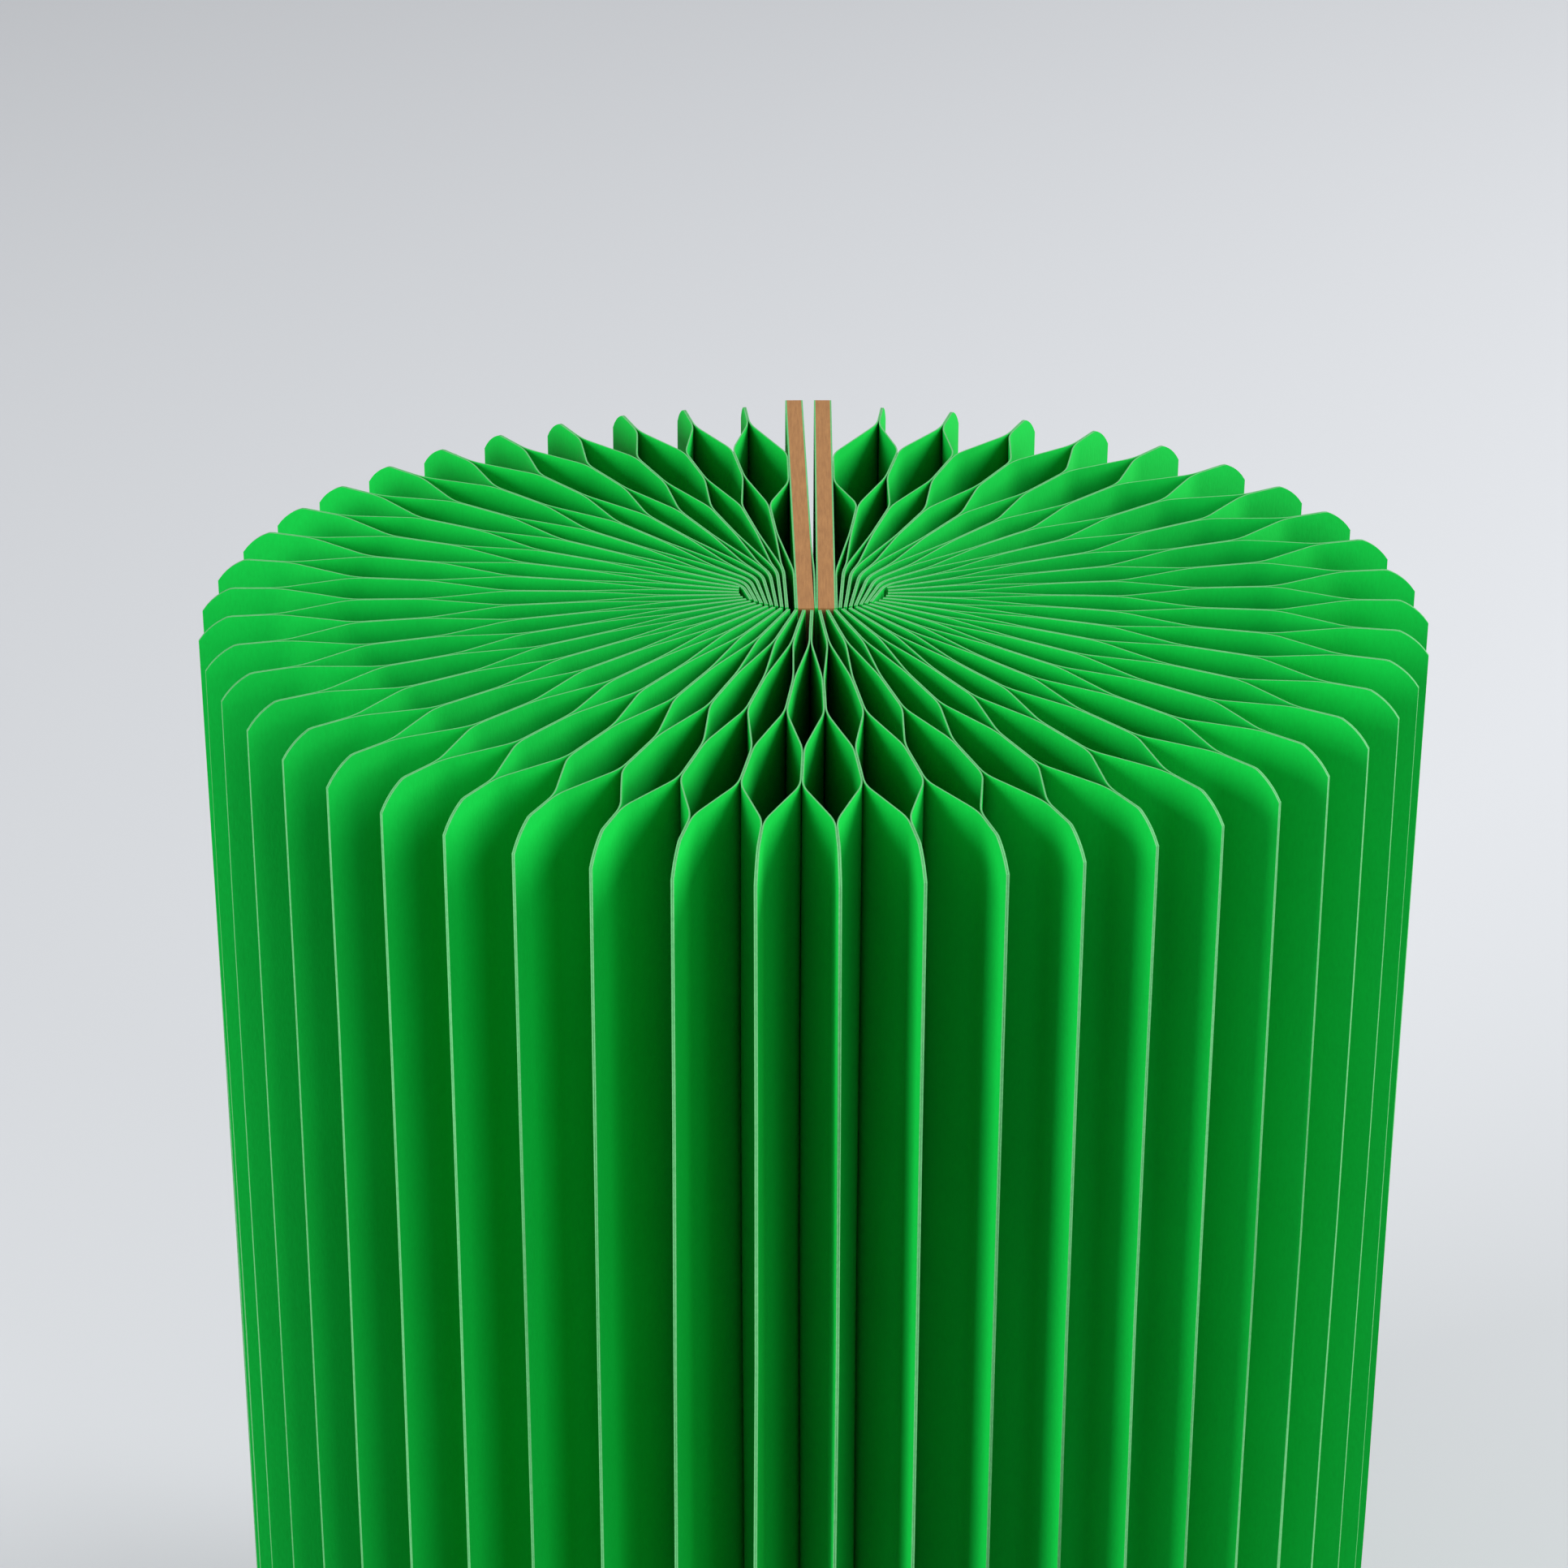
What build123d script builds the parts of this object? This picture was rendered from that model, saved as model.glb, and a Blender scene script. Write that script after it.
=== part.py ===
from build123d import *
import os
from math import copysign, cos, hypot, pi, radians, sin, sqrt, tan

# Accordion paper lantern, opened all the way round until its two covers stand back to back.
# Millimetres, +Z up. The fan of pleats opens towards -Y (front); the covers lie along +Y (rear).
# Each pleat is two upright card sheets. Strips of glue join the two sheets of one pleat ("own"
# strips) and neighbouring pleats ("shared" strips) in turn, so the fan opens into a honeycomb.

# Overall sizes
height = 297.0
board_length = 105.0
pleat_count = 47

# Covers: stiff board with a sheet of card pasted on each face
board_thickness = 3.0
facing_thickness = 0.3
cover_gap = 0.16
cover_splay = 0.6
cover_lean = 0.6
cover_shift = 0.5

# Card sheets
sheet_thickness = 0.28
glue_line = 0.05
sheet_trim = 1.4
sheet_setback = 1.0
crease_reach = 2.0
corner_reach = 5.7
corner_drop = 4.7
corner_radius = 12.0

# Loop that the sheets leave from: the pleats' inner edges stack round the front of it
loop_half_width = 14.1
loop_half_depth = 9.0
spine_clearance = 0.53
stack_clearance = 0.3
stack_inset = 0.6
stack_from = 110.0

# Fan: angles of the pleats, in degrees from the front, as the lantern is set out by hand
fan_angle = 356.2
fan_lean = -6.1
fan_sides = 4.6
fan_thirds = -0.9
fan_quarters = 0.9
root_lag = 10.0
rear_shortfall = 11.3

# Hook-and-loop pads that hold the covers back to back
pad_radius = 10.0
pad_clearance = 0.025
pad_from_spine = 86.0
pad_from_end = 60.0

# Worked out from the sizes above; the loop's front is at y = 0 until the whole fan is centred
strip_width = (board_length - sheet_trim) / 7
sheet_offset = (sheet_thickness + glue_line) / 2
cover_thickness = board_thickness + 2 * facing_thickness
cover_reach = cover_gap / 2 + cover_thickness + glue_line + sheet_thickness
tip_pitch = 2 * pi * (loop_half_width + 7 * strip_width) / (pleat_count + 1)
stack_pitch = 2 * (sheet_thickness + glue_line) + stack_clearance
stack_room = (loop_half_width - stack_inset - cover_reach) / stack_pitch - 1
spine_gap = loop_half_depth * (1 - sqrt(1 - (cover_reach / loop_half_width) ** 2)) + spine_clearance
pad_thickness = (
    cover_gap / 2 + (pad_from_spine - pad_radius) * sin(radians(cover_splay)) - glue_line - pad_clearance
)


def gap_run(share):
    """Radial run of a free gap, whose sheets slant across half a pleat at this share of the tip pitch."""
    return sqrt(strip_width**2 - (share * tip_pitch / 2) ** 2)


# Distances back from the tip to each end of the glue strips: own, shared, own, shared
own_outer_end = strip_width
shared_outer_start = own_outer_end + gap_run(0.85)
shared_outer_end = shared_outer_start + strip_width
own_inner_start = shared_outer_end + gap_run(0.55)
own_inner_end = own_inner_start + strip_width
shared_inner_start = own_inner_end + gap_run(0.3)
fan_run = shared_inner_start + strip_width


class Ray:
    """Line in plan that a glue strip lies on: inner end, bend, and straight run to the tip."""

    def __init__(self, inner, bend, tip):
        self.inner, self.bend, self.tip = inner, bend, tip
        self.out = (tip - bend).normalized()
        self.side = self.out.rotate(Axis.Z, 90)
        self.run = (tip - bend).length

    def back_from_tip(self, distance, offset):
        """Point on the straight run, this far back from the tip and this far to the side."""
        return self.tip - self.out * distance + self.side * offset

    def inner_path(self, distance, offset):
        """Points from the inner end to this far back from the tip, round the bend if there is one."""
        if (self.bend - self.inner).length < crease_reach:
            return [self.back_from_tip(self.run, offset), self.back_from_tip(distance, offset)]
        inward = (self.bend - self.inner).normalized()
        inward_side = inward.rotate(Axis.Z, 90)
        mitre = (self.side + inward_side) * (offset / (1 + self.side.dot(inward_side)))
        start = self.inner + inward_side * offset
        past_bend = self.run - distance
        if past_bend > crease_reach:
            return [start, self.bend + mitre, self.back_from_tip(distance, offset)]
        if past_bend < -crease_reach:
            return [start, self.bend + mitre + inward * past_bend]
        return [start, self.bend + mitre]


def fan_direction(share):
    """Angle from the front, in degrees, at this share of the way from left cover to right cover."""
    waves = (fan_lean, fan_sides, fan_thirds, fan_quarters)
    bunching = sum(size * sin(turns * pi * share) for turns, size in enumerate(waves, 1))
    return fan_angle * (share - 0.5) + bunching


def loop_point(root):
    """Point on the loop at this angle from the front; its rear half leaves room for the covers."""
    reach = loop_half_width * abs(sin(root))
    if cos(root) < 0:
        reach = hypot(reach, (cover_reach + stack_pitch) * cos(root))
    return Vector(copysign(reach, root), loop_half_depth * (1 - cos(root)))


def stack_end(side, pleats_from_cover):
    """Inner end of a rear pair of sheets, stacked in order inside the front of the loop."""
    reach = cover_reach + stack_pitch * pleats_from_cover
    half_width, half_depth = loop_half_width - stack_inset, loop_half_depth - stack_inset
    depth = half_depth * sqrt(1 - (reach / half_width) ** 2)
    return Vector(copysign(reach, side), loop_half_depth - depth)


def fan_ray(pleats_from_left):
    """Ray at this many pleats from the left cover; half-way values are a pleat's own strips."""
    direction = radians(fan_direction(pleats_from_left / pleat_count))
    root = direction - radians(root_lag) * sin(direction)
    bend = loop_point(root)
    run = fan_run - rear_shortfall * min(cos(direction), 0) ** 2
    tip = bend + Vector(sin(direction), -cos(direction)) * run
    inner = bend
    pleats_from_cover = min(pleats_from_left, pleat_count - pleats_from_left)
    if abs(direction) > radians(stack_from) and pleats_from_cover < stack_room:
        inner = stack_end(direction, pleats_from_cover)
    return Ray(inner, bend, tip)


def cover_place(side):
    """Place of a cover's outer face, +Y along it from its front edge; side is -1 left, +1 right."""
    pair = Pos(cover_shift, spine_gap, 0) * Rot(0, 0, cover_lean)
    return pair * Pos(side * cover_gap / 2, 0, 0) * Rot(0, 0, -side * cover_splay)


def cover_ray(side):
    """Ray along the inner facing of a cover, for the glue strips of the sheet beside it."""
    across = side * (cover_thickness + glue_line / 2)
    start = (cover_place(side) * Pos(across, glue_line, 0)).position
    tip = (cover_place(side) * Pos(across, board_length - sheet_setback, 0)).position
    return Ray(start, start, tip)


def shared_ray(number):
    """Ray of the glue strips between this pleat and the next; the first and last are the covers."""
    if number == 0:
        return cover_ray(-1)
    if number == pleat_count:
        return cover_ray(1)
    return fan_ray(number)


def offset_points(points, offset):
    """Corners of the line parallel to a polyline, to its left by offset."""
    runs = [(b - a).normalized() for a, b in zip(points, points[1:])]
    sides = [run.rotate(Axis.Z, 90) for run in runs]
    corners = [
        point + (a + b) * (offset / (1 + a.dot(b))) for point, a, b in zip(points[1:-1], sides, sides[1:])
    ]
    return [points[0] + sides[0] * offset, *corners, points[-1] + sides[-1] * offset]


def crease_radii(points):
    """Radius at each inner corner of a polyline, so that no crease takes up half of its run."""
    radii = []
    for before, corner, after in zip(points, points[1:], points[2:]):
        arrive, leave = corner - before, after - corner
        reach = min(crease_reach, 0.45 * arrive.length, 0.45 * leave.length)
        radii.append(reach / tan(radians(arrive.get_angle(leave)) / 2))
    return radii


def sheet_solid(points):
    """One upright sheet of card whose centreline in plan runs through these corners."""
    radii = crease_radii(points)
    edges = []
    for side in (-1, 1):
        turns = [(b - a).cross(c - b).Z for a, b, c in zip(points, points[1:], points[2:])]
        shifted = offset_points(points, side * sheet_thickness / 2)
        sized = [
            radius - side * sheet_thickness / 2 * (1 if turn > 0 else -1)
            for radius, turn in zip(radii, turns)
        ]
        edges.append(FilletPolyline(*shifted, radius=sized))
    left, right = edges
    ends = Line(left @ 0, right @ 0) + Line(left @ 1, right @ 1)
    return extrude(make_face(left + right + ends), height)


def corner_cutters(ray):
    """Prisms that round off the top and bottom outer corners of a pleat."""
    cutters = []
    for level, up in ((height, 1), (0, -1)):
        arc = RadiusArc((-corner_reach, 0), (0, -up * corner_drop), up * corner_radius)
        spare = (corner_reach, up * corner_reach)
        edge = Polyline((0, -up * corner_drop), (spare[0], -up * corner_drop), spare,
                        (-corner_reach, spare[1]), (-corner_reach, 0))
        upright = Plane(ray.tip + Vector(0, 0, level), x_dir=ray.out, z_dir=ray.out.cross(Vector(0, 0, 1)))
        cutters.append(extrude(upright * make_face(arc + edge), strip_width / 2, both=True))
    return cutters


def pleat(number):
    """The two sheets of one pleat, as separate solids."""
    own = fan_ray(number - 0.5)
    cutters = corner_cutters(own)
    sheets = []
    for shared, side in ((shared_ray(number - 1), 1), (shared_ray(number), -1)):
        shift = side * sheet_offset
        points = shared.inner_path(shared_inner_start, shift)
        points += [own.back_from_tip(own_inner_end, -shift), own.back_from_tip(own_inner_start, -shift)]
        points += [shared.back_from_tip(shared_outer_end, shift)]
        points += [shared.back_from_tip(shared_outer_start, shift)]
        points += [own.back_from_tip(own_outer_end, -shift), own.back_from_tip(0, -shift)]
        sheets.append(sheet_solid(points) - cutters)
    return Compound(children=[solid for sheet in sheets for solid in sheet.solids()])


def cover_layer(side, start, thickness):
    """Upright layer of a cover: start is its distance from the cover's outer face."""
    layer = Box(thickness, board_length, height, align=(Align.MIN, Align.MIN, Align.MIN))
    layer = Pos(start, 0, 0) * layer
    if side < 0:
        layer = mirror(layer, Plane.YZ)
    return cover_place(side) * layer


def cover_pads(side):
    """Two round pads on the outer face of a cover, one near each end."""
    pads = []
    for level in (pad_from_end, height - pad_from_end):
        pad = Pos(-side * (pad_thickness / 2 + glue_line), pad_from_spine, level) * Rot(0, 90, 0)
        pads.append(cover_place(side) * pad * Cylinder(pad_radius, pad_thickness))
    return Compound(children=[solid for item in pads for solid in item.solids()])


def build():
    """All the pieces, by node name, in the fan's own frame."""
    nodes = {f"leaf_{number:02d}": pleat(number) for number in range(1, pleat_count + 1)}
    for name, side in (("left", -1), ("right", 1)):
        nodes[f"{name}_cover_board"] = cover_layer(side, facing_thickness, board_thickness)
        nodes[f"{name}_outer_facing"] = cover_layer(side, 0, facing_thickness)
        inner_start = facing_thickness + board_thickness
        nodes[f"{name}_inner_facing"] = cover_layer(side, inner_start, facing_thickness)
    nodes["hook_pads"] = cover_pads(-1)
    nodes["loop_pads"] = cover_pads(1)
    return nodes


def main():
    """Write each node, moved so that the origin is the middle of the lantern's footprint."""
    nodes = build()
    box = Compound(children=[copy for node in nodes.values() for copy in node.solids()]).bounding_box()
    centre = Pos(-(box.min.X + box.max.X) / 2, -(box.min.Y + box.max.Y) / 2, -box.min.Z)
    os.makedirs("parts", exist_ok=True)
    for name, node in nodes.items():
        export_step(centre * node, f"parts/{name}.step")
    print(f"footprint centre {box.center().X:.3f} {box.center().Y:.3f}")


if __name__ == "__main__":
    main()
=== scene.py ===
"""Accordion paper lantern: pleats of green card fanned full circle between two covers.

The covers stand back to back behind the spine. Everything is in metres, in the frame of the
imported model: +Z up along the pleats, the front of the fan towards -Y, the covers along +Y.
"""

from __future__ import annotations

import logging
from dataclasses import dataclass, field
from enum import Enum
from math import copysign, cos, hypot, pi, radians, sin, sqrt, tan
from typing import Any

import bmesh
import bpy
from mathutils import Matrix, Vector

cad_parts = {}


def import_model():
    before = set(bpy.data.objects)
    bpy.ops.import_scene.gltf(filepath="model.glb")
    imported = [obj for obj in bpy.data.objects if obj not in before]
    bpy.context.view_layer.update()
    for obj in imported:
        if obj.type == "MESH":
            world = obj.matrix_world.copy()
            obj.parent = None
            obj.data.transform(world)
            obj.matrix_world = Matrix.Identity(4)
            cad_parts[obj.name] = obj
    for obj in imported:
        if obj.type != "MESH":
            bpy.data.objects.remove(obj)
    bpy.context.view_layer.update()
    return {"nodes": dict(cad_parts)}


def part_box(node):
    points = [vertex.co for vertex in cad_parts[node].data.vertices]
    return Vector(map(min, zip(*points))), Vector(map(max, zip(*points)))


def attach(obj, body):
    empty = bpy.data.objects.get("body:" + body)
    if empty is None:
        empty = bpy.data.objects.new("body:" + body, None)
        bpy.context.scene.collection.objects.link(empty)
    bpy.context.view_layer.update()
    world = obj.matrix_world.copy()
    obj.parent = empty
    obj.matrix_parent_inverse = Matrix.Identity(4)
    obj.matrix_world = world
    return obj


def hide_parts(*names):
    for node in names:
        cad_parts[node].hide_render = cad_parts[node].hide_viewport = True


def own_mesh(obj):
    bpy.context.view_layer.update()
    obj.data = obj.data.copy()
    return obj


LOG = logging.getLogger("paper_lantern")
MATH = "ShaderNodeMath"
VECTOR_MATH = "ShaderNodeVectorMath"
MM = 0.001


class Side(Enum):
    """Which half of the fan a piece belongs to; the value is the sign of its x."""

    LEFT = -1
    RIGHT = 1

    @property
    def word(self) -> str:
        """Name used for the bodies and nodes of this half."""
        return self.name.lower()


def colour(code: str) -> tuple[float, float, float, float]:
    """Turn an sRGB hex colour into a linear one.

    Args:
        code: Six hex digits.

    Returns:
        Linear red, green, blue and an alpha of one.
    """
    linear = []
    for start in (0, 2, 4):
        value = int(code[start:start + 2], 16) / 255
        linear.append(value / 12.92 if value <= 0.04045 else ((value + 0.055) / 1.055) ** 2.4)
    return (linear[0], linear[1], linear[2], 1.0)


def add_node(
    tree: bpy.types.NodeTree, kind: str, inputs: dict[Any, Any] | None = None, **settings: Any
) -> bpy.types.Node:
    """Add one node with its settings and links.

    Args:
        tree: Node tree that the node goes into.
        kind: Blender's name for the type of node.
        inputs: For each input's name or number, a value, the output that feeds it, or the
            node whose first output does.
        **settings: Attributes of the node to set.

    Returns:
        The new node.
    """
    node = tree.nodes.new(kind)
    for name, value in settings.items():
        setattr(node, name, value)
    for key, value in (inputs or {}).items():
        source = value.outputs[0] if isinstance(value, bpy.types.Node) else value
        if isinstance(source, bpy.types.NodeSocket):
            tree.links.new(source, node.inputs[key])
        else:
            node.inputs[key].default_value = source
    return node


@dataclass(frozen=True)
class Finish:
    """What every finish shares: a name and a roughness."""

    name: str
    roughness: float

    def start(self) -> tuple[bpy.types.Material, bpy.types.NodeTree, bpy.types.Node]:
        """Start a material with a Principled shader.

        Returns:
            The material, its node tree and its shader.
        """
        material = bpy.data.materials.new(self.name)
        material.use_nodes = True
        tree = material.node_tree
        shader = tree.nodes["Principled BSDF"]
        shader.inputs["Roughness"].default_value = self.roughness
        return material, tree, shader


@dataclass(frozen=True)
class DyedCard(Finish):
    """Solid-dyed uncoated card: matte, with a fine tooth and slightly cloudy colour."""

    light: str = "00aa3a"
    dark: str = "009830"
    gloss: float = 0.12
    # Real fibres are far finer, and are drawn this coarse so that the grain shows
    fibre: float = 0.5 * MM
    # Fibres lie along the sheet's height, so the grain is a few times longer than wide
    fibre_squeeze: float = 0.35
    grain_weight: float = 0.8
    cloud: float = 30 * MM
    cloud_weight: float = 0.6
    # Several times deeper than real tooth, so that it shows
    tooth: float = 0.096 * MM
    tooth_strength: float = 0.35

    def make(self) -> bpy.types.Material:
        """Build the material.

        Returns:
            The finished material.
        """
        material, tree, shader = self.start()
        place = add_node(tree, "ShaderNodeTexCoord").outputs["Object"]
        stretched = add_node(
            tree, "ShaderNodeMapping", {"Vector": place, "Scale": (1.0, 1.0, self.fibre_squeeze)}
        )
        grain = add_node(
            tree, "ShaderNodeTexNoise",
            {"Vector": stretched, "Scale": 1 / self.fibre, "Detail": 3.0, "Roughness": 0.6},
        )
        cloud = add_node(
            tree, "ShaderNodeTexNoise", {"Vector": place, "Scale": 1 / self.cloud, "Detail": 2.0}
        )
        # The two noises swing about a half, and so does their sum
        middle = 0.5 - (self.cloud_weight + self.grain_weight) / 2
        share = add_node(
            tree, MATH, {0: cloud, 1: self.cloud_weight, 2: middle}, operation="MULTIPLY_ADD"
        )
        share = add_node(
            tree, MATH, {0: grain, 1: self.grain_weight, 2: share}, operation="MULTIPLY_ADD"
        )
        mix = add_node(
            tree, "ShaderNodeMix", {0: share, 6: colour(self.dark), 7: colour(self.light)},
            data_type="RGBA",
        )
        tree.links.new(mix.outputs[2], shader.inputs["Base Color"])
        bump = add_node(
            tree, "ShaderNodeBump",
            {"Height": grain, "Strength": self.tooth_strength, "Distance": self.tooth},
        )
        tree.links.new(bump.outputs[0], shader.inputs["Normal"])
        shader.inputs["Specular IOR Level"].default_value = self.gloss
        return material


@dataclass(frozen=True)
class CutCard(Finish):
    """Guillotined edge of dyed card: its torn fibres scatter light, so it is paler than a face."""

    light: str = "5da168"
    dark: str = "3a8c4c"
    # Tufts of many fibres, because single ones are too fine to show
    tuft: float = 0.8 * MM

    def make(self) -> bpy.types.Material:
        """Build the material.

        Returns:
            The finished material.
        """
        material, tree, shader = self.start()
        place = add_node(tree, "ShaderNodeTexCoord").outputs["Object"]
        fuzz = add_node(
            tree, "ShaderNodeTexNoise", {"Vector": place, "Scale": 1 / self.tuft, "Detail": 4.0}
        )
        mix = add_node(
            tree, "ShaderNodeMix", {0: fuzz, 6: colour(self.dark), 7: colour(self.light)},
            data_type="RGBA",
        )
        tree.links.new(mix.outputs[2], shader.inputs["Base Color"])
        return material


@dataclass(frozen=True)
class SawnFibreboard(Finish):
    """Sawn edge of thin fibreboard: warm brown with short darker streaks along the board."""

    light: str = "a17340"
    dark: str = "683f17"
    streak: float = 0.5 * MM
    streak_length: float = 6 * MM
    saw_mark: float = 0.1 * MM
    saw_strength: float = 0.5

    def make(self) -> bpy.types.Material:
        """Build the material.

        Returns:
            The finished material.
        """
        material, tree, shader = self.start()
        place = add_node(tree, "ShaderNodeTexCoord").outputs["Object"]
        along = self.streak / self.streak_length
        laid = add_node(tree, "ShaderNodeMapping", {"Vector": place, "Scale": (1.0, along, 1.0)})
        streaks = add_node(
            tree, "ShaderNodeTexNoise",
            {"Vector": laid, "Scale": 1 / self.streak, "Detail": 5.0, "Roughness": 0.65},
        )
        mix = add_node(
            tree, "ShaderNodeMix", {0: streaks, 6: colour(self.dark), 7: colour(self.light)},
            data_type="RGBA",
        )
        tree.links.new(mix.outputs[2], shader.inputs["Base Color"])
        bump = add_node(
            tree, "ShaderNodeBump",
            {"Height": streaks, "Strength": self.saw_strength, "Distance": self.saw_mark},
        )
        tree.links.new(bump.outputs[0], shader.inputs["Normal"])
        return material


@dataclass(frozen=True)
class NylonPile(Finish):
    """Woven nylon tape under hooks and loops: a soft sheen over a mottled dark green."""

    light: str = "2c8a4c"
    dark: str = "145a2c"
    sheen: float = 0.4
    loop: float = 0.7 * MM
    pile: float = 0.2 * MM
    pile_strength: float = 0.6

    def make(self) -> bpy.types.Material:
        """Build the material.

        Returns:
            The finished material.
        """
        material, tree, shader = self.start()
        place = add_node(tree, "ShaderNodeTexCoord").outputs["Object"]
        cells = add_node(tree, "ShaderNodeTexVoronoi", {"Vector": place, "Scale": 1 / self.loop})
        mix = add_node(
            tree, "ShaderNodeMix", {0: cells, 6: colour(self.dark), 7: colour(self.light)},
            data_type="RGBA",
        )
        tree.links.new(mix.outputs[2], shader.inputs["Base Color"])
        bump = add_node(
            tree, "ShaderNodeBump",
            {"Height": cells, "Strength": self.pile_strength, "Distance": self.pile},
        )
        tree.links.new(bump.outputs[0], shader.inputs["Normal"])
        shader.inputs["Sheen Weight"].default_value = self.sheen
        return material


@dataclass(frozen=True)
class StudioPaper(Finish):
    """Seamless background paper: even, matte and almost white."""

    shade: str = "b2b4b7"
    gloss: float = 0.1

    def make(self) -> bpy.types.Material:
        """Build the material.

        Returns:
            The finished material.
        """
        material, _, shader = self.start()
        shader.inputs["Base Color"].default_value = colour(self.shade)
        shader.inputs["Specular IOR Level"].default_value = self.gloss
        return material


@dataclass
class Palette:
    """The finishes of the lantern, made once."""

    card: bpy.types.Material = field(init=False)
    cut: bpy.types.Material = field(init=False)
    board: bpy.types.Material = field(init=False)
    tape: bpy.types.Material = field(init=False)

    def __post_init__(self) -> None:
        """Make each material."""
        self.card = DyedCard("uncoated_green_card", roughness=0.8).make()
        self.cut = CutCard("cut_edge_of_green_card", roughness=0.9).make()
        self.board = SawnFibreboard("sawn_edge_of_fibreboard", roughness=0.85).make()
        self.tape = NylonPile("nylon_hook_and_loop", roughness=0.75).make()


@dataclass(frozen=True)
class Ray:
    """Line in plan that a glue strip lies on: inner end, bend, and straight run to the tip."""

    inner: Vector
    bend: Vector
    tip: Vector
    # Corners of a path that are nearer to each other than this count as one
    crease_reach: float

    @property
    def out(self) -> Vector:
        """Direction from the bend to the tip."""
        return (self.tip - self.bend).normalized()

    @property
    def side(self) -> Vector:
        """Direction across the ray, towards the pleats with higher numbers."""
        return self.out.orthogonal()

    @property
    def run(self) -> float:
        """Length of the straight run."""
        return (self.tip - self.bend).length

    def back_from_tip(self, distance: float, offset: float) -> Vector:
        """Find a point on the straight run.

        Args:
            distance: How far back from the tip.
            offset: How far to the side.

        Returns:
            The point.
        """
        return self.tip - self.out * distance + self.side * offset

    def inner_path(self, distance: float, offset: float) -> list[Vector]:
        """List the corners from the inner end outwards, round the bend if there is one.

        Args:
            distance: How far back from the tip the path ends.
            offset: How far to the side of the ray it runs.

        Returns:
            The path's corners.
        """
        if (self.bend - self.inner).length < self.crease_reach:
            return [self.back_from_tip(self.run, offset), self.back_from_tip(distance, offset)]
        inward = (self.bend - self.inner).normalized()
        inward_side = inward.orthogonal()
        mitre = (self.side + inward_side) * (offset / (1 + self.side.dot(inward_side)))
        start = self.inner + inward_side * offset
        past_bend = self.run - distance
        if past_bend > self.crease_reach:
            return [start, self.bend + mitre, self.back_from_tip(distance, offset)]
        if past_bend < -self.crease_reach:
            return [start, self.bend + mitre + inward * past_bend]
        return [start, self.bend + mitre]


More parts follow.
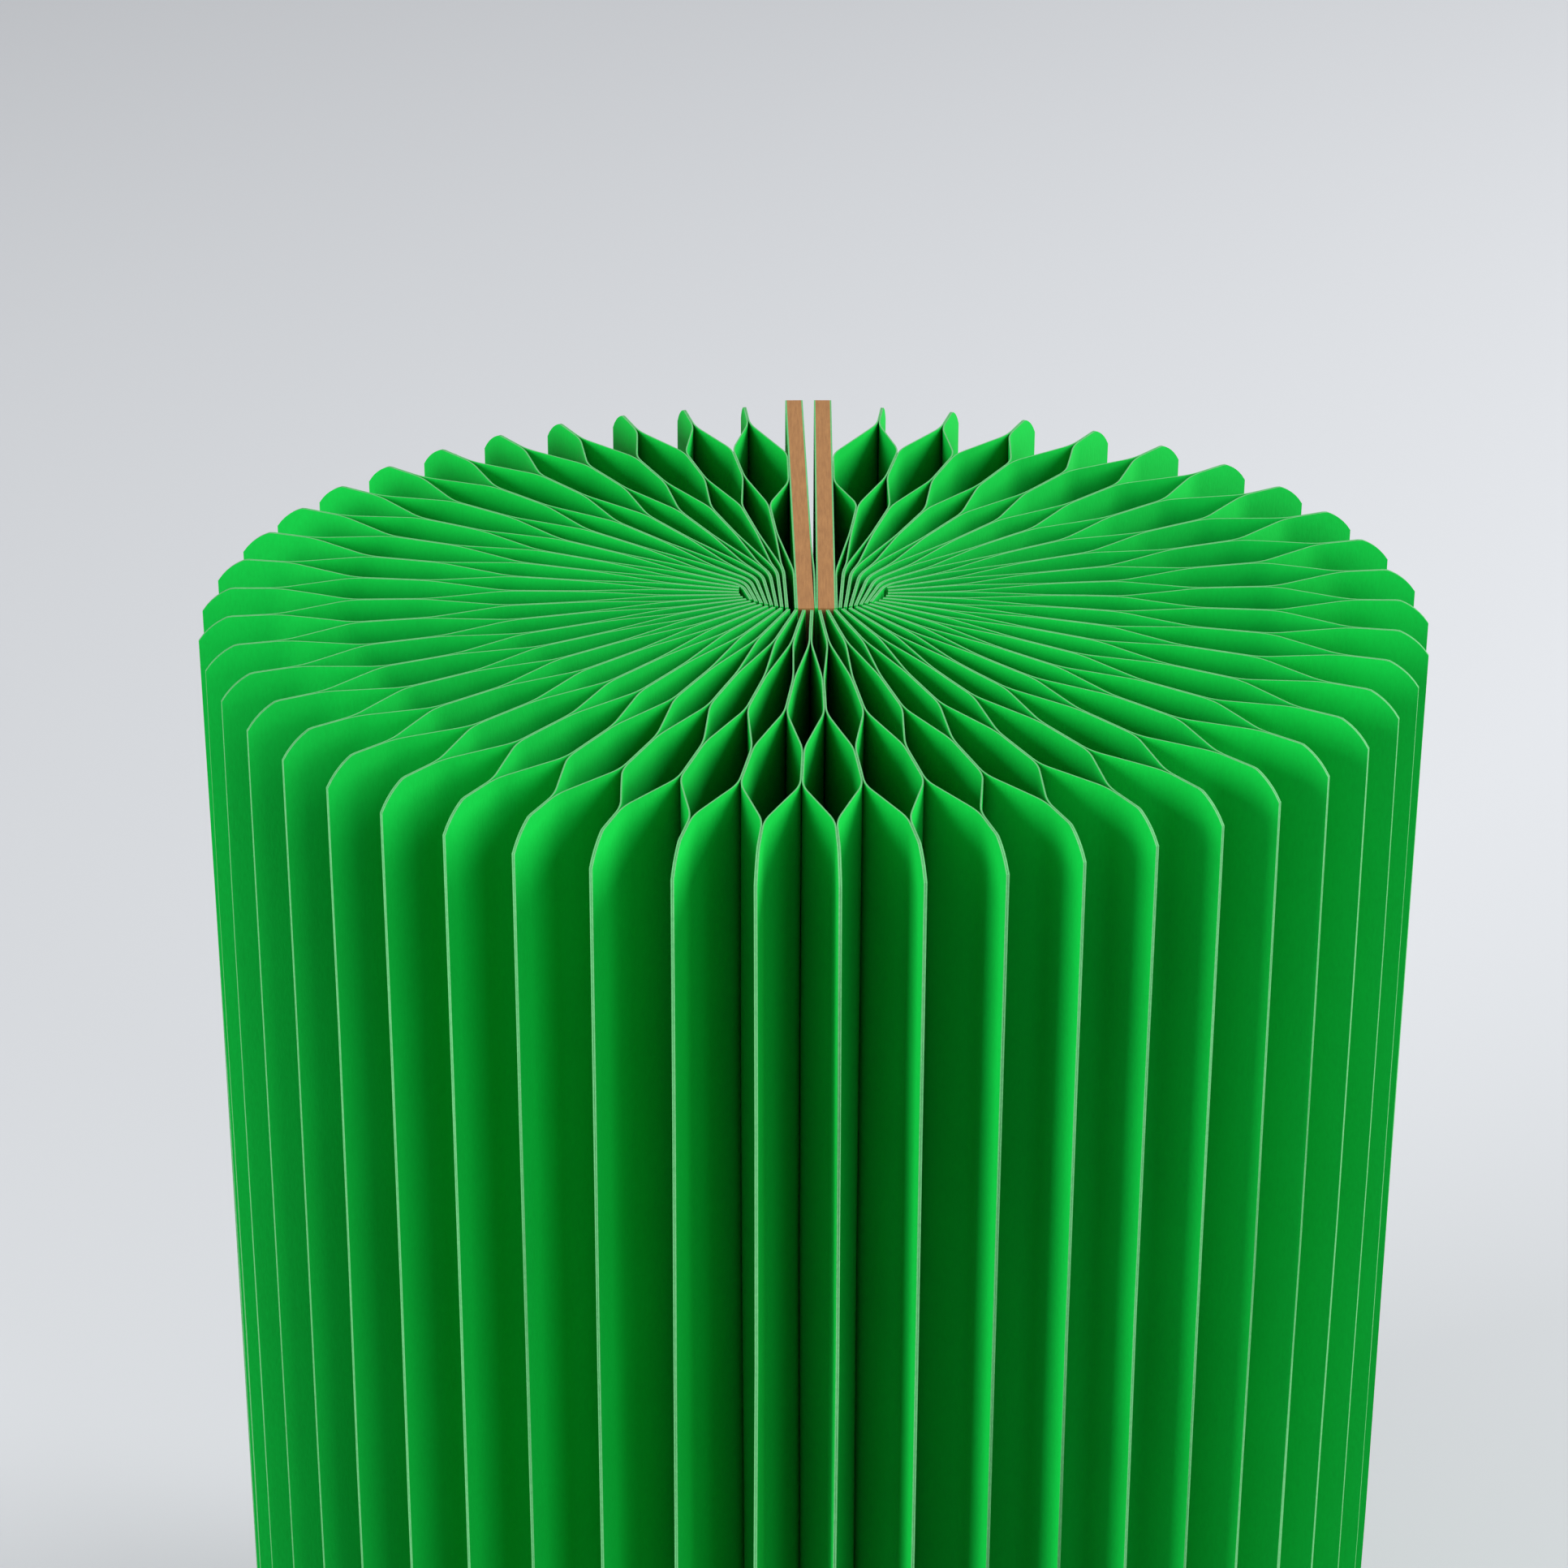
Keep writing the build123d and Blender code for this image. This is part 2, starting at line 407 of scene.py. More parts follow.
@dataclass
class FanPlan:
    """The rule that the fan is set out by, seen from above; the loop's front is its origin.

    Strips of glue join the two sheets of a pleat ("own" strips) and neighbouring pleats
    ("shared" strips) in turn, so the opened fan is a honeycomb. Angles are in degrees.
    """

    pleats: int = 47
    # Four glue strips and the three free gaps between them, all equally wide when flat
    strips_and_gaps: int = 7
    board_length: float = 105.0 * MM
    board: float = 3.0 * MM
    facing: float = 0.3 * MM
    cover_gap: float = 0.16 * MM
    cover_splay: float = 0.6
    cover_lean: float = 0.6
    cover_shift: float = 0.5 * MM
    sheet: float = 0.28 * MM
    glue_line: float = 0.05 * MM
    sheet_trim: float = 1.4 * MM
    sheet_setback: float = 1.0 * MM
    crease_reach: float = 2.0 * MM
    loop_half_width: float = 14.1 * MM
    loop_half_depth: float = 9.0 * MM
    spine_clearance: float = 0.53 * MM
    stack_clearance: float = 0.3 * MM
    stack_inset: float = 0.6 * MM
    # Sheets this far round or further bend at the loop and stack up inside its front
    stack_from: float = 110.0
    angle: float = 356.2
    # Uneven spacing, as sine waves of one to four half turns from cover to cover
    waves: tuple[float, ...] = (-6.1, 4.6, -0.9, 0.9)
    # Roots of the side pleats lag behind the pleats' own directions by this much
    root_lag: float = 10.0
    # Tips at the rear are nearer to the loop by this much
    rear_shortfall: float = 11.3 * MM
    # How wide the free gaps open, as a share of the pitch at the tips
    own_spread: float = 0.85
    middle_spread: float = 0.55
    inner_spread: float = 0.3

    def __post_init__(self) -> None:
        """Work out where the glue strips start and end, and where the covers start."""
        sheet_length = self.board_length - self.sheet_trim
        self.strip = sheet_length / self.strips_and_gaps
        self.sheet_offset = (self.sheet + self.glue_line) / 2
        self.cover = self.board + 2 * self.facing
        self.cover_reach = self.cover_gap / 2 + self.cover + self.glue_line + self.sheet
        # The covers take up the room of one more pleat
        self.tip_pitch = 2 * pi * (self.loop_half_width + sheet_length) / (self.pleats + 1)
        self.stack_pitch = 2 * (self.sheet + self.glue_line) + self.stack_clearance
        stack_width = self.loop_half_width - self.stack_inset - self.cover_reach
        self.stack_room = stack_width / self.stack_pitch - 1
        chord = sqrt(1 - (self.cover_reach / self.loop_half_width) ** 2)
        self.spine_gap = self.loop_half_depth * (1 - chord) + self.spine_clearance
        self.own_outer_end = self.strip
        self.shared_outer_start = self.own_outer_end + self.gap_run(self.own_spread)
        self.shared_outer_end = self.shared_outer_start + self.strip
        self.own_inner_start = self.shared_outer_end + self.gap_run(self.middle_spread)
        self.own_inner_end = self.own_inner_start + self.strip
        self.shared_inner_start = self.own_inner_end + self.gap_run(self.inner_spread)
        self.run = self.shared_inner_start + self.strip

    def gap_run(self, share: float) -> float:
        """Find the radial run of a free gap between two glue strips.

        Args:
            share: The gap's opening, as a share of the pitch at the tips.

        Returns:
            The run.
        """
        return sqrt(self.strip ** 2 - (share * self.tip_pitch / 2) ** 2)

    def direction(self, share: float) -> float:
        """Find the direction of a pleat.

        Args:
            share: How far it is from the left cover to the right cover.

        Returns:
            Its angle from the front in radians, positive to the right.
        """
        bunching = sum(size * sin(turns * pi * share) for turns, size in enumerate(self.waves, 1))
        return radians(self.angle * (share - 0.5) + bunching)

    def loop_point(self, root: float) -> Vector:
        """Find a point on the loop that the roots of the pleats stand on.

        Args:
            root: Its angle from the front in radians, positive to the right.

        Returns:
            The point.
        """
        reach = self.loop_half_width * abs(sin(root))
        if cos(root) < 0:
            reach = hypot(reach, (self.cover_reach + self.stack_pitch) * cos(root))
        return Vector((copysign(reach, root), self.loop_half_depth * (1 - cos(root))))

    def stack_end(self, side: float, pleats_from_cover: float) -> Vector:
        """Find the inner end of a rear pair of sheets, stacked inside the front of the loop.

        Args:
            side: A number with the sign of the half that the sheets are on.
            pleats_from_cover: Pleats between the sheets and the cover of that half.

        Returns:
            The inner end.
        """
        reach = self.cover_reach + self.stack_pitch * pleats_from_cover
        half_width = self.loop_half_width - self.stack_inset
        depth = (self.loop_half_depth - self.stack_inset) * sqrt(1 - (reach / half_width) ** 2)
        return Vector((copysign(reach, side), self.loop_half_depth - depth))

    def fan_ray(self, pleats_from_left: float) -> Ray:
        """Find a ray of the fan.

        Args:
            pleats_from_left: Pleats between it and the left cover; half-way values are own strips.

        Returns:
            The ray.
        """
        direction = self.direction(pleats_from_left / self.pleats)
        bend = self.loop_point(direction - radians(self.root_lag) * sin(direction))
        run = self.run - self.rear_shortfall * min(cos(direction), 0) ** 2
        tip = bend + Vector((sin(direction), -cos(direction))) * run
        inner = bend
        pleats_from_cover = min(pleats_from_left, self.pleats - pleats_from_left)
        if abs(direction) > radians(self.stack_from) and pleats_from_cover < self.stack_room:
            inner = self.stack_end(direction, pleats_from_cover)
        return Ray(inner, bend, tip, self.crease_reach)

    def cover_point(self, side: Side, across: float, along: float) -> Vector:
        """Find a point on a cover.

        Args:
            side: Which cover.
            across: How far the point is from the cover's outer face, into the cover.
            along: How far it is from the cover's front edge.

        Returns:
            The point.
        """
        splay = Matrix.Rotation(radians(-side.value * self.cover_splay), 2)
        turned = splay @ Vector((side.value * across, along))
        turned += Vector((side.value * self.cover_gap / 2, 0.0))
        pair = Vector((self.cover_shift, self.spine_gap))
        return pair + Matrix.Rotation(radians(self.cover_lean), 2) @ turned

    def shared_ray(self, number: int) -> Ray:
        """Find the ray of the shared strips after a pleat; the first and last lie on the covers.

        Args:
            number: The pleat's number, or 0 for the strips before the first pleat.

        Returns:
            The ray.
        """
        if 0 < number < self.pleats:
            return self.fan_ray(number)
        side = Side.LEFT if number == 0 else Side.RIGHT
        across = self.cover + self.glue_line / 2
        start = self.cover_point(side, across, self.glue_line)
        tip = self.cover_point(side, across, self.board_length - self.sheet_setback)
        return Ray(start, start, tip, self.crease_reach)

    def sheet_corners(self, pleat: int) -> list[list[Vector]]:
        """List the corners of the two sheets of a pleat, from the inner end to the tip.

        Args:
            pleat: The pleat's number, from 1 beside the left cover.

        Returns:
            The corners of each sheet.
        """
        own = self.fan_ray(pleat - 0.5)
        sheets = []
        for shared, side in ((self.shared_ray(pleat - 1), 1), (self.shared_ray(pleat), -1)):
            shift = side * self.sheet_offset
            corners = shared.inner_path(self.shared_inner_start, shift)
            corners += [own.back_from_tip(self.own_inner_end, -shift)]
            corners += [own.back_from_tip(self.own_inner_start, -shift)]
            corners += [shared.back_from_tip(self.shared_outer_end, shift)]
            corners += [shared.back_from_tip(self.shared_outer_start, shift)]
            corners += [own.back_from_tip(self.own_outer_end, -shift), own.back_from_tip(0, -shift)]
            sheets.append(corners)
        return sheets


@dataclass
class WallTree:
    """Geometry Nodes tree that raises sheets of card from their centrelines in plan.

    A centreline is a poly spline from a sheet's inner end to its tip. The tree rounds its
    creases, raises a wall of even thickness, rounds the wall's two outer corners, lets the
    wall wander a little as hand-opened card does, and finishes faces and cut edges.
    """

    crease_steps: int = 8
    # Share of the way to the next corner that a bend may take up
    bend_share: float = 0.45
    # Radians: a smaller bend is rounded as if it turned this much
    least_bend: float = 1e-4
    # Radians: an edge between two faces that turn by more than this stays crisp
    crisp_from: float = 0.7
    # Card is stiff along its height, so its wander is drawn out upwards
    wander_squeeze: float = 0.25
    # A face is a cut edge if its normal rises or falls by more than this
    level_from: float = 0.3
    # Points this near the tip are on its cut edge, and points this near each other are one
    tip_limit: float = 1e-6
    merge_limit: float = 1e-7
    tree: bpy.types.NodeTree = field(init=False)
    given: Any = field(init=False)

    def __post_init__(self) -> None:
        """Build the tree."""
        self.tree = bpy.data.node_groups.new("card_wall", "GeometryNodeTree")
        sizes = (
            "Height", "Thickness", "Spacing", "Corner Reach", "Corner Back", "Corner Down",
            "Corner Radius", "Wander", "Wander Size", "Still Zone", "Spine X", "Spine Y",
        )
        kinds = {
            "Geometry": ("Geometry",), "Float": sizes, "Int": ("Rows", "Seed"),
            "Material": ("Card", "Cut Edge"),
        }
        sockets = self.tree.interface
        for kind, names in kinds.items():
            for name in names:
                sockets.new_socket(name, in_out="INPUT", socket_type="NodeSocket" + kind)
        sockets.new_socket("Geometry", in_out="OUTPUT", socket_type="NodeSocketGeometry")
        self.given = add_node(self.tree, "NodeGroupInput").outputs
        wall, from_tip = self.raise_wall()
        wall = self.round_corners(wall, from_tip)
        wall = self.let_wander(wall)
        self.finish(wall, from_tip)

    def raise_wall(self) -> tuple[bpy.types.Node, bpy.types.NodeSocket]:
        """Round the creases and sweep the wall's section along the centreline.

        Returns:
            The node that gives the wall, centred on z = 0, and each point's distance from
            the tip.
        """
        tree, given = self.tree, self.given
        radius = add_node(tree, "GeometryNodeInputRadius")
        rounded = add_node(
            tree, "GeometryNodeFilletCurve",
            {
                "Curve": given["Geometry"], "Count": self.crease_steps, "Limit Radius": True,
                "Radius": radius,
            },
            mode="POLY",
        )
        stations = add_node(
            tree, "GeometryNodeResampleCurve", {"Curve": rounded, "Length": given["Spacing"]},
            mode="LENGTH",
        )
        upright = add_node(tree, "GeometryNodeSetCurveNormal", {"Curve": stations}, mode="Z_UP")
        even = add_node(tree, "GeometryNodeSetCurveRadius", {"Curve": upright, "Radius": 1.0})
        along = add_node(tree, "GeometryNodeSplineParameter").outputs["Length"]
        whole = add_node(tree, "GeometryNodeSplineLength").outputs["Length"]
        left = add_node(tree, MATH, {0: whole, 1: along}, operation="SUBTRACT")
        marked = add_node(tree, "GeometryNodeCaptureAttribute")
        marked.capture_items.new("FLOAT", "From Tip")
        tree.links.new(even.outputs[0], marked.inputs["Geometry"])
        tree.links.new(left.outputs[0], marked.inputs["From Tip"])
        section = add_node(
            tree, "GeometryNodeCurvePrimitiveQuadrilateral",
            {"Width": given["Thickness"], "Height": given["Height"]},
        )
        rows = add_node(
            tree, "GeometryNodeSubdivideCurve", {"Curve": section, "Cuts": given["Rows"]}
        )
        wall = add_node(
            tree, "GeometryNodeCurveToMesh",
            {"Curve": marked.outputs["Geometry"], "Profile Curve": rows, "Fill Caps": True},
        )
        return wall, marked.outputs["From Tip"]

    def round_corners(
        self, wall: bpy.types.Node, from_tip: bpy.types.NodeSocket
    ) -> bpy.types.Node:
        """Draw the wall in at its two outer corners, and stand it on z = 0.

        Args:
            wall: The node that gives the wall, centred on z = 0.
            from_tip: Each point's distance from the tip.

        Returns:
            The node that gives the standing wall.
        """
        tree, given = self.tree, self.given
        radius = given["Corner Radius"]
        beside = add_node(
            tree, MATH, {0: given["Corner Back"], 1: from_tip}, operation="SUBTRACT"
        )
        beside_square = add_node(tree, MATH, {0: beside, 1: beside}, operation="MULTIPLY")
        radius_square = add_node(tree, MATH, {0: radius, 1: radius}, operation="MULTIPLY")
        rise_square = add_node(
            tree, MATH, {0: radius_square, 1: beside_square}, operation="SUBTRACT"
        )
        rise = add_node(tree, MATH, {0: rise_square}, operation="SQRT")
        drop = add_node(tree, MATH, {0: given["Corner Down"], 1: rise}, operation="SUBTRACT")
        near = add_node(
            tree, MATH, {0: from_tip, 1: given["Corner Reach"]}, operation="LESS_THAN"
        )
        half = add_node(tree, MATH, {0: given["Height"], 1: 0.5}, operation="MULTIPLY")
        drop_near = add_node(tree, MATH, {0: drop, 1: near}, operation="MULTIPLY")
        shrink = add_node(tree, MATH, {0: drop_near, 1: half}, operation="DIVIDE")
        kept = add_node(tree, MATH, {0: 1.0, 1: shrink}, operation="SUBTRACT")
        position = add_node(tree, "GeometryNodeInputPosition")
        place = add_node(tree, "ShaderNodeSeparateXYZ", {0: position}).outputs
        level = add_node(
            tree, MATH, {0: place["Z"], 1: kept, 2: half}, operation="MULTIPLY_ADD"
        )
        moved = add_node(
            tree, "ShaderNodeCombineXYZ", {"X": place["X"], "Y": place["Y"], "Z": level}
        )
        return add_node(tree, "GeometryNodeSetPosition", {"Geometry": wall, "Position": moved})

    def let_wander(self, wall: bpy.types.Node) -> bpy.types.Node:
        """Move the wall sideways by a slow noise that every sheet shares, so that none cross.

        Args:
            wall: The node that gives the standing wall.

        Returns:
            The node that gives the wall, moved except near the spine and the covers.
        """
        tree, given = self.tree, self.given
        position = add_node(tree, "GeometryNodeInputPosition")
        place = add_node(tree, "ShaderNodeSeparateXYZ", {0: position}).outputs
        aside = add_node(tree, MATH, {0: place["X"], 1: given["Spine X"]}, operation="SUBTRACT")
        past = add_node(tree, MATH, {0: place["Y"], 1: given["Spine Y"]}, operation="SUBTRACT")
        ahead = add_node(tree, MATH, {0: past, 1: 0.0}, operation="MINIMUM")
        ahead_square = add_node(tree, MATH, {0: ahead, 1: ahead}, operation="MULTIPLY")
        reach_square = add_node(
            tree, MATH, {0: aside, 1: aside, 2: ahead_square}, operation="MULTIPLY_ADD"
        )
        reach = add_node(tree, MATH, {0: reach_square}, operation="SQRT")
        beyond = add_node(tree, MATH, {0: reach, 1: given["Still Zone"]}, operation="SUBTRACT")
        free = add_node(
            tree, MATH, {0: beyond, 1: given["Wander Size"]}, operation="DIVIDE", use_clamp=True
        )
        drawn_out = add_node(
            tree, VECTOR_MATH, {0: position, 1: (1.0, 1.0, self.wander_squeeze)},
            operation="MULTIPLY",
        )
        scale = add_node(tree, MATH, {0: 1.0, 1: given["Wander Size"]}, operation="DIVIDE")
        noise = add_node(
            tree, "ShaderNodeTexNoise",
            {"Vector": drawn_out, "W": given["Seed"], "Detail": 0.0, "Scale": scale},
            noise_dimensions="4D",
        )
        swing = add_node(
            tree, VECTOR_MATH, {0: noise.outputs["Color"], 1: (0.5, 0.5, 0.5)},
            operation="SUBTRACT",
        )
        flat = add_node(
            tree, VECTOR_MATH, {0: swing, 1: (1.0, 1.0, 0.0)}, operation="MULTIPLY"
        )
        amount = add_node(tree, MATH, {0: free, 1: given["Wander"]}, operation="MULTIPLY")
        shift = add_node(tree, VECTOR_MATH, {0: flat, "Scale": amount}, operation="SCALE")
        return add_node(tree, "GeometryNodeSetPosition", {"Geometry": wall, "Offset": shift})

    def finish(self, wall: bpy.types.Node, from_tip: bpy.types.NodeSocket) -> None:
        """Shade the bends smoothly and put the finishes on faces and cut edges.

        Args:
            wall: The node that gives the wall in its place.
            from_tip: Each point's distance from the tip.
        """
        tree, given = self.tree, self.given
        smooth = add_node(
            tree, "GeometryNodeSetShadeSmooth", {"Geometry": wall, "Shade Smooth": True},
            domain="FACE",
        )
        bend = add_node(tree, "GeometryNodeInputMeshEdgeAngle")
        corner = add_node(tree, MATH, {0: bend, 1: self.crisp_from}, operation="GREATER_THAN")
        crisp = add_node(
            tree, "GeometryNodeSetShadeSmooth",
            {"Geometry": smooth, "Selection": corner, "Shade Smooth": False}, domain="EDGE",
        )
        real = add_node(tree, "GeometryNodeRealizeInstances", {0: crisp})
        dyed = add_node(
            tree, "GeometryNodeSetMaterial", {"Geometry": real, "Material": given["Card"]}
        )
        normal = add_node(tree, "GeometryNodeInputNormal")
        upwards = add_node(tree, "ShaderNodeSeparateXYZ", {0: normal}).outputs["Z"]
        tilt = add_node(tree, MATH, {0: upwards}, operation="ABSOLUTE")
        level = add_node(tree, MATH, {0: tilt, 1: self.level_from}, operation="GREATER_THAN")
        at_tip = add_node(tree, MATH, {0: from_tip, 1: self.tip_limit}, operation="LESS_THAN")
        edges = add_node(tree, MATH, {0: level, 1: at_tip}, operation="MAXIMUM")
        cut = add_node(
            tree, "GeometryNodeSetMaterial",
            {"Geometry": dyed, "Selection": edges, "Material": given["Cut Edge"]},
        )
        add_node(tree, "NodeGroupOutput", {0: cut})

    def bend_radii(self, corners: list[Vector], reach: float) -> list[float]:
        """Find the radius at each corner of a centreline.

        Args:
            corners: The centreline's corners.
            reach: How far each side of a corner its bend starts.

        Returns:
            A radius for each corner, zero at the two ends.
        """
        radii = [0.0]
        for before, corner, after in zip(corners, corners[1:], corners[2:]):
            arrive, leave = corner - before, after - corner
            kept = min(reach, self.bend_share * arrive.length, self.bend_share * leave.length)
            radii.append(kept / tan(max(arrive.angle(leave), self.least_bend) / 2))
        return radii + [0.0]

    def make(
        self, name: str, sheets: list[list[Vector]], bend_reach: float, sizes: dict[str, Any]
    ) -> bpy.types.Object:
        """Raise sheets and keep the result as a plain mesh.

        Args:
            name: Name of the piece.
            sheets: Corners in plan of each sheet's centreline, from the inner end to the tip.
            bend_reach: How far each side of a corner its bend starts.
            sizes: Values of the tree's inputs, by name.

        Returns:
            The piece.
        """
        curve = bpy.data.curves.new(name + "_plan", "CURVE")
        curve.dimensions = "3D"
        for corners in sheets:
            spline = curve.splines.new("POLY")
            spline.points.add(len(corners) - 1)
            radii = self.bend_radii(corners, bend_reach)
            for point, corner, radius in zip(spline.points, corners, radii):
                point.co = (corner.x, corner.y, 0.0, 1.0)
                point.radius = radius
        plan = bpy.data.objects.new(name + "_plan", curve)
        bpy.context.scene.collection.objects.link(plan)
        modifier = plan.modifiers.new("wall", "NODES")
        modifier.node_group = self.tree
        for item in self.tree.interface.items_tree:
            if item.in_out == "INPUT" and item.name in sizes:
                modifier[item.identifier] = sizes[item.name]
        view = bpy.context.evaluated_depsgraph_get()
        mesh = bpy.data.meshes.new_from_object(plan.evaluated_get(view))
        mesh.name = name
        bpy.data.objects.remove(plan)
        bpy.data.curves.remove(curve)
        shape = bmesh.new()
        shape.from_mesh(mesh)
        bmesh.ops.remove_doubles(shape, verts=shape.verts, dist=self.merge_limit)
        bmesh.ops.recalc_face_normals(shape, faces=shape.faces)
        shape.to_mesh(mesh)
        shape.free()
        piece = bpy.data.objects.new(name, mesh)
        bpy.context.scene.collection.objects.link(piece)
        return piece


@dataclass
class Fan:
    """The pleats: two sheets of card in each, glued into a honeycomb."""

    plan: FanPlan
    palette: Palette
    walls: WallTree
    front_pleat: int = 25
    bend_reach: float = 2.4 * MM
    # Points along a sheet are spaced by this, and each side of its section has rows cuts in it
    spacing: float = 0.9 * MM
    rows: int = 5
    corner_reach: float = 5.7 * MM
    corner_drop: float = 4.7 * MM
    corner_radius: float = 12.0 * MM
    # Hand-opened card wanders by up to half of this, in waves of about wander_size
    wander: float = 1.2 * MM
    wander_size: float = 32 * MM
    still_zone: float = 8 * MM
    seed: int = 11
    # Share of its open width that a pleat keeps when the lantern is closed
    closed_share: float = 0.045

    def __post_init__(self) -> None:
        """Find the fan's place in the frame, from the covers' facings."""
        low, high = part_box("left_outer_facing")
        corners = [
            self.plan.cover_point(Side.LEFT, across, along)
            for across in (0.0, self.plan.facing) for along in (0.0, self.plan.board_length)
        ]
        left, front = min(corner.x for corner in corners), min(corner.y for corner in corners)
        self.origin = Vector((low.x - left, low.y - front))
        self.height = high.z - low.z

    def sizes(self) -> dict[str, Any]:
        """List the inputs of the wall tree for the pleats.

        Returns:
            Values by input name.
        """
        chord = hypot(self.corner_reach, self.corner_drop)
        inset = sqrt(self.corner_radius ** 2 - chord ** 2 / 4)
        return {
            "Height": self.height,
            "Thickness": self.plan.sheet,
            "Spacing": self.spacing,
            "Corner Reach": self.corner_reach,
            "Corner Back": self.corner_reach / 2 + inset * self.corner_drop / chord,
            "Corner Down": self.corner_drop / 2 + inset * self.corner_reach / chord,
            "Corner Radius": self.corner_radius,
            "Wander": self.wander,
            "Wander Size": self.wander_size,
            "Still Zone": self.still_zone,
            "Spine X": self.origin.x,
            "Spine Y": self.origin.y,
            "Rows": self.rows,
            "Seed": self.seed,
            "Card": self.palette.card,
            "Cut Edge": self.palette.cut,
        }

    def make_pleat(self, number: int) -> bpy.types.Object:
        """Build one pleat and tie it to the frame.

        Args:
            number: The pleat's number, from 1 beside the left cover.

        Returns:
            The pleat.
        """
        sheets = [
            [corner + self.origin for corner in sheet] for sheet in self.plan.sheet_corners(number)
        ]
        name = f"pleat_of_card_{number:02d}"
        piece = self.walls.make(name, sheets, self.bend_reach, self.sizes())
        front = number == self.front_pleat
        body = "front_leaf" if front else f"pleat_{number:02d}"
        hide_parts(f"leaf_{number:02d}")
        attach(piece, body)
        own = self.plan.fan_ray(number - 0.5)
        own.side.x
        own.side.y
        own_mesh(piece)
        return piece

    def build(self) -> list[bpy.types.Object]:
        """Build every pleat.

        Returns:
            The pleats, from the left cover to the right one.
        """
        return [self.make_pleat(number) for number in range(1, self.plan.pleats + 1)]


@dataclass
class Cover:
    """One cover: a stiff board between two facings of card, with its hook-and-loop pads.

    The outer facings have come a little loose at the front, where the left one bulges out.
    """

    side: Side
    plan: FanPlan
    palette: Palette
    walls: WallTree
    fan: Fan
    front_lift: float = 0.07 * MM
    bulge: float = 0.3 * MM
    bulge_middle: float = 16.5 * MM
    bulge_reach: float = 12.0 * MM
    # Lengths that a facing is divided into, so that its bulge is smooth
    stations: int = 70

    def make_facing(self, name: str, across: float, lifts: dict[float, float]) -> bpy.types.Object:
        """Build a facing as a wall of card.

        Args:
            name: The facing's CAD node, without the side.
            across: Distance of its middle from the cover's outer face.
            lifts: How far it has come off the board outwards, by distance from the front edge.

        Returns:
            The facing.
        """
        sizes = self.fan.sizes() | {
            "Thickness": self.plan.facing, "Corner Reach": 0.0, "Wander": 0.0,
            "Spacing": self.plan.board_length / self.stations,
        }
        corners = [
            self.plan.cover_point(self.side, across - lift, along) + self.fan.origin
            for along, lift in sorted((lifts | {self.plan.board_length: 0.0}).items())
        ]
        full_name = f"{self.side.word}_{name}_card"
        piece = self.walls.make(full_name, [corners], self.bulge_reach / 2, sizes)
        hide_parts(f"{self.side.word}_{name}")
        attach(piece, f"{self.side.word}_cover")
        return piece

    def build(self, nodes: dict[str, bpy.types.Object]) -> list[bpy.types.Object]:
        """Build the facings and finish the board and the pads.

        Args:
            nodes: The CAD nodes, by name.

        Returns:
            The cover's pieces.
        """
        half = self.plan.facing / 2
        bulge = self.bulge if self.side is Side.LEFT else 0.0
        lifts = {
            0.0: self.front_lift, self.bulge_middle - self.bulge_reach: self.front_lift,
            self.bulge_middle: bulge, self.bulge_middle + self.bulge_reach: 0.0,
        }
        pieces = [
            self.make_facing("outer_facing", half, lifts),
            self.make_facing("inner_facing", self.plan.cover - half, {0.0: 0.0}),
        ]
        pads = "hook_pads" if self.side is Side.LEFT else "loop_pads"
        board = f"{self.side.word}_cover_board"
        for node, material in ((board, self.palette.board), (pads, self.palette.tape)):
            nodes[node].data.materials.clear()
            nodes[node].data.materials.append(material)
            pieces.append(nodes[node])
        return pieces


@dataclass(frozen=True)
class Softbox:
    """Square softbox: its name, place and side in metres, and power in watts."""

    name: str
    place: tuple[float, float, float]
    size: float
    power: float

    def hang(self, aim: Vector) -> None:
        """Hang the softbox.

        Args:
            aim: The point it faces.
        """
        light = bpy.data.lights.new(self.name, "AREA")
        light.shape = "SQUARE"
        light.size = self.size
        light.energy = self.power
        lamp = bpy.data.objects.new(self.name, light)
        lamp.location = self.place
        lamp.rotation_euler = (aim - lamp.location).to_track_quat("-Z", "Y").to_euler()
        bpy.context.scene.collection.objects.link(lamp)


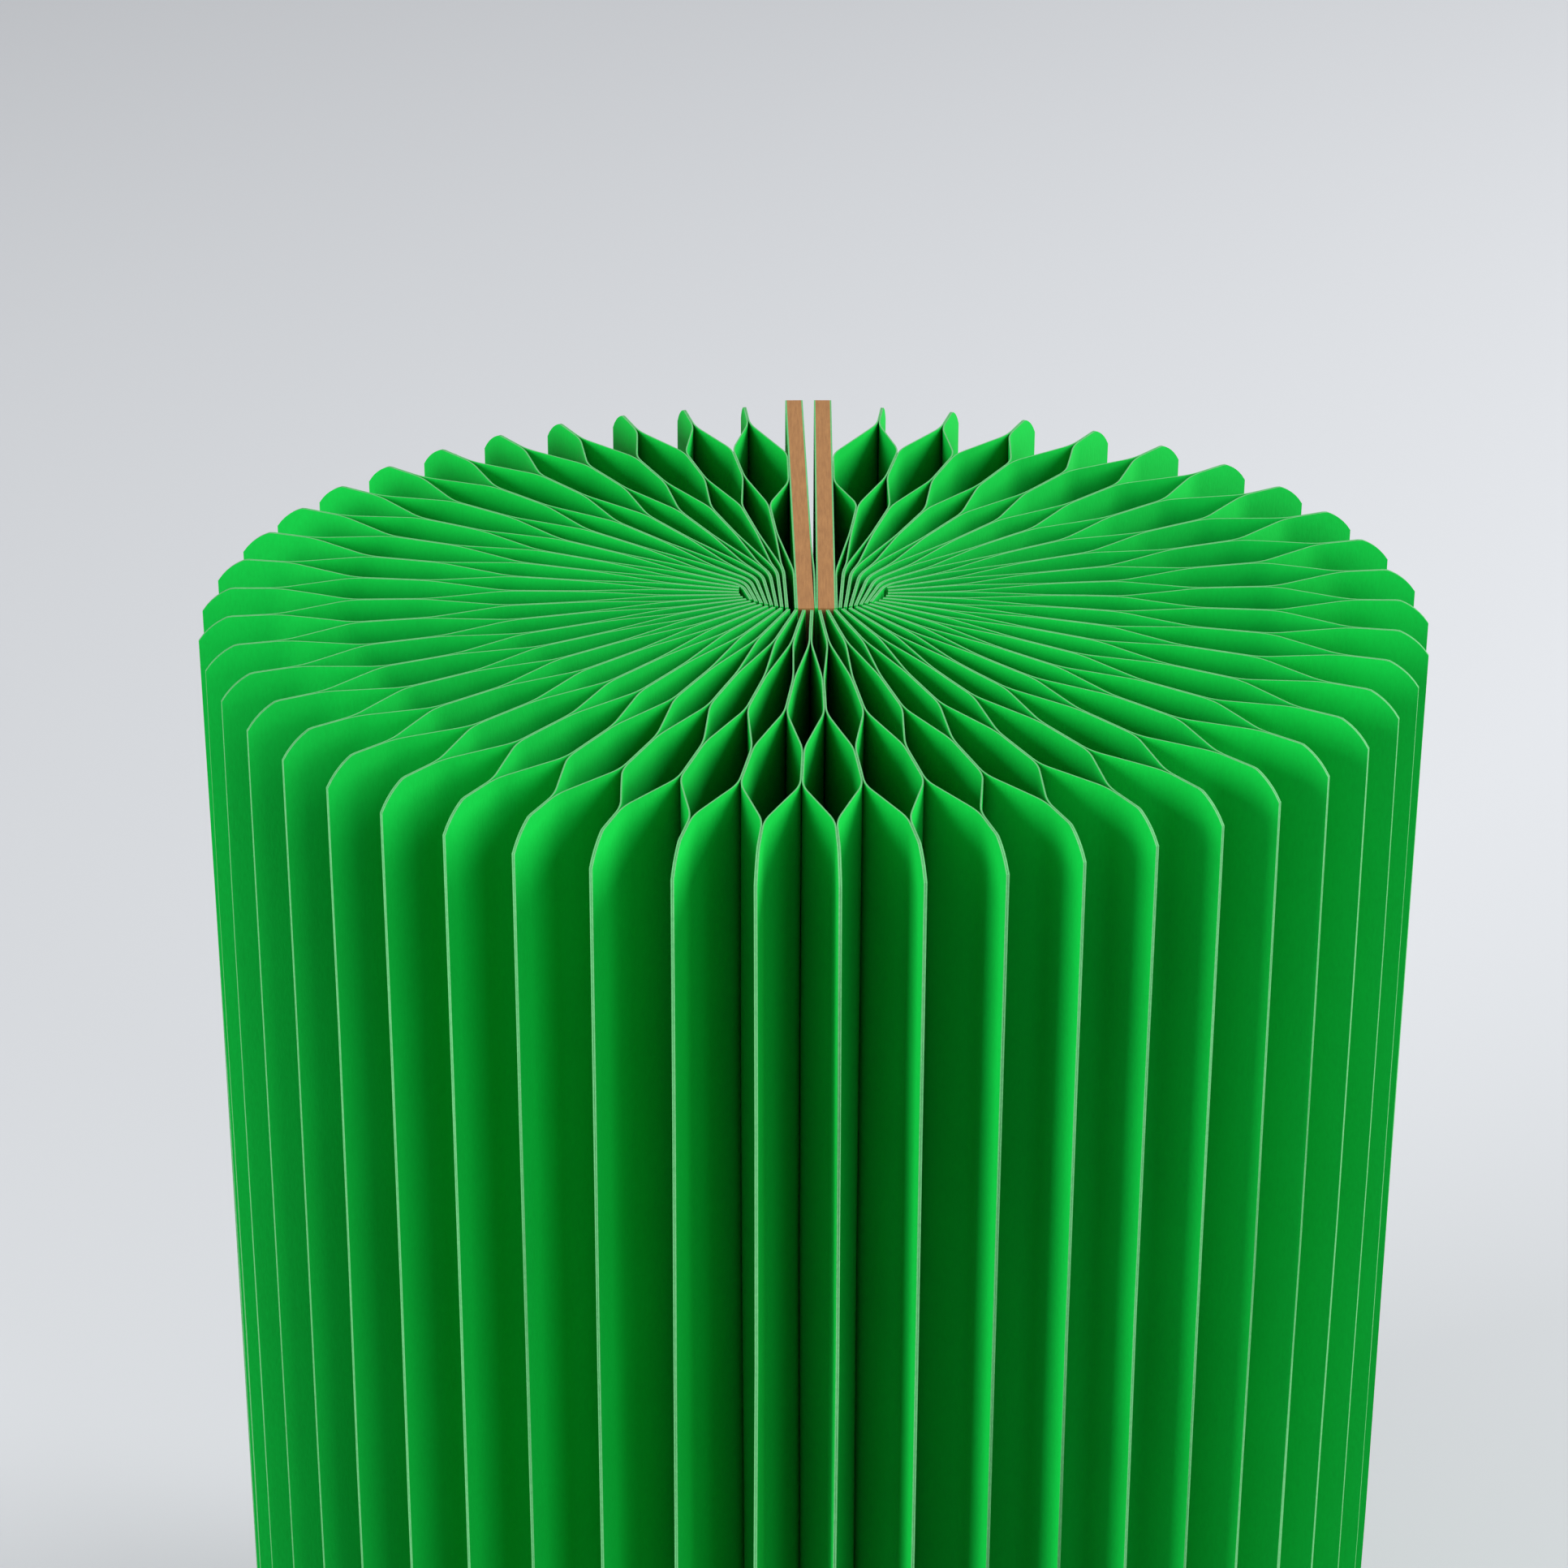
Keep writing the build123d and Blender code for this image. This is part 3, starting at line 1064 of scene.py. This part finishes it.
@dataclass
class Studio:
    """Pale floor, soft light and the camera. The lens is in millimetres, its angles in degrees."""

    floor_reach: float = 6.0
    softboxes: tuple[Softbox, ...] = (
        Softbox("window_right", place=(2.3, 0.4, 1.6), size=1.8, power=136.0),
        Softbox("fill_left", place=(-1.75, -1.35, 0.9), size=1.2, power=72.0),
        Softbox("fill_front", place=(1.3, -2.0, 0.8), size=1.2, power=26.0),
    )
    aim: tuple[float, float, float] = (0.0, 0.0, 0.2)
    room_shade: str = "e6e7ea"
    room_strength: float = 0.52
    lens: float = 101.15
    sensor: float = 36.0
    pitch: float = 26.556
    roll: float = 0.145
    camera_place: tuple[float, float, float] = (-0.00539, -0.75162, 0.63484)

    def make_floor(self) -> None:
        """Lay the floor under the lantern."""
        mesh = bpy.data.meshes.new("studio_floor")
        reach = self.floor_reach
        corners = [(-reach, -reach, 0), (reach, -reach, 0), (reach, reach, 0), (-reach, reach, 0)]
        mesh.from_pydata(corners, [], [(0, 1, 2, 3)])
        mesh.materials.append(StudioPaper("studio_paper", roughness=0.9).make())
        floor = bpy.data.objects.new("studio_floor", mesh)
        bpy.context.scene.collection.objects.link(floor)

    def light(self) -> None:
        """Set the softboxes and the even light of the room."""
        for softbox in self.softboxes:
            softbox.hang(Vector(self.aim))
        world = bpy.data.worlds.new("studio_room")
        world.use_nodes = True
        room = world.node_tree.nodes["Background"]
        room.inputs["Color"].default_value = colour(self.room_shade)
        room.inputs["Strength"].default_value = self.room_strength
        bpy.context.scene.world = world

    def place_camera(self) -> None:
        """Set the camera in front, looking down on the top of the fan."""
        lens = bpy.data.cameras.new("camera")
        lens.lens = self.lens
        lens.sensor_width = self.sensor
        camera = bpy.data.objects.new("camera", lens)
        camera.location = self.camera_place
        camera.rotation_mode = "ZYX"
        camera.rotation_euler = (radians(90 - self.pitch), 0.0, radians(self.roll))
        bpy.context.scene.collection.objects.link(camera)
        bpy.context.scene.camera = camera

    def build(self) -> None:
        """Set up the whole studio."""
        self.make_floor()
        self.light()
        self.place_camera()
        bpy.context.scene.view_settings.view_transform = "Standard"


def main() -> None:
    """Build the lantern around the frame, piece by piece."""
    logging.basicConfig(level=logging.INFO, format="%(message)s")
    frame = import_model()
    palette = Palette()
    plan = FanPlan()
    walls = WallTree()
    fan = Fan(plan, palette, walls)
    pieces = fan.build()
    for side in Side:
        pieces += Cover(side, plan, palette, walls, fan).build(frame["nodes"])
    for piece in pieces:
        LOG.info("%s: %d faces", piece.name, len(piece.data.polygons))
    Studio().build()


if __name__ == "__main__":
    main()
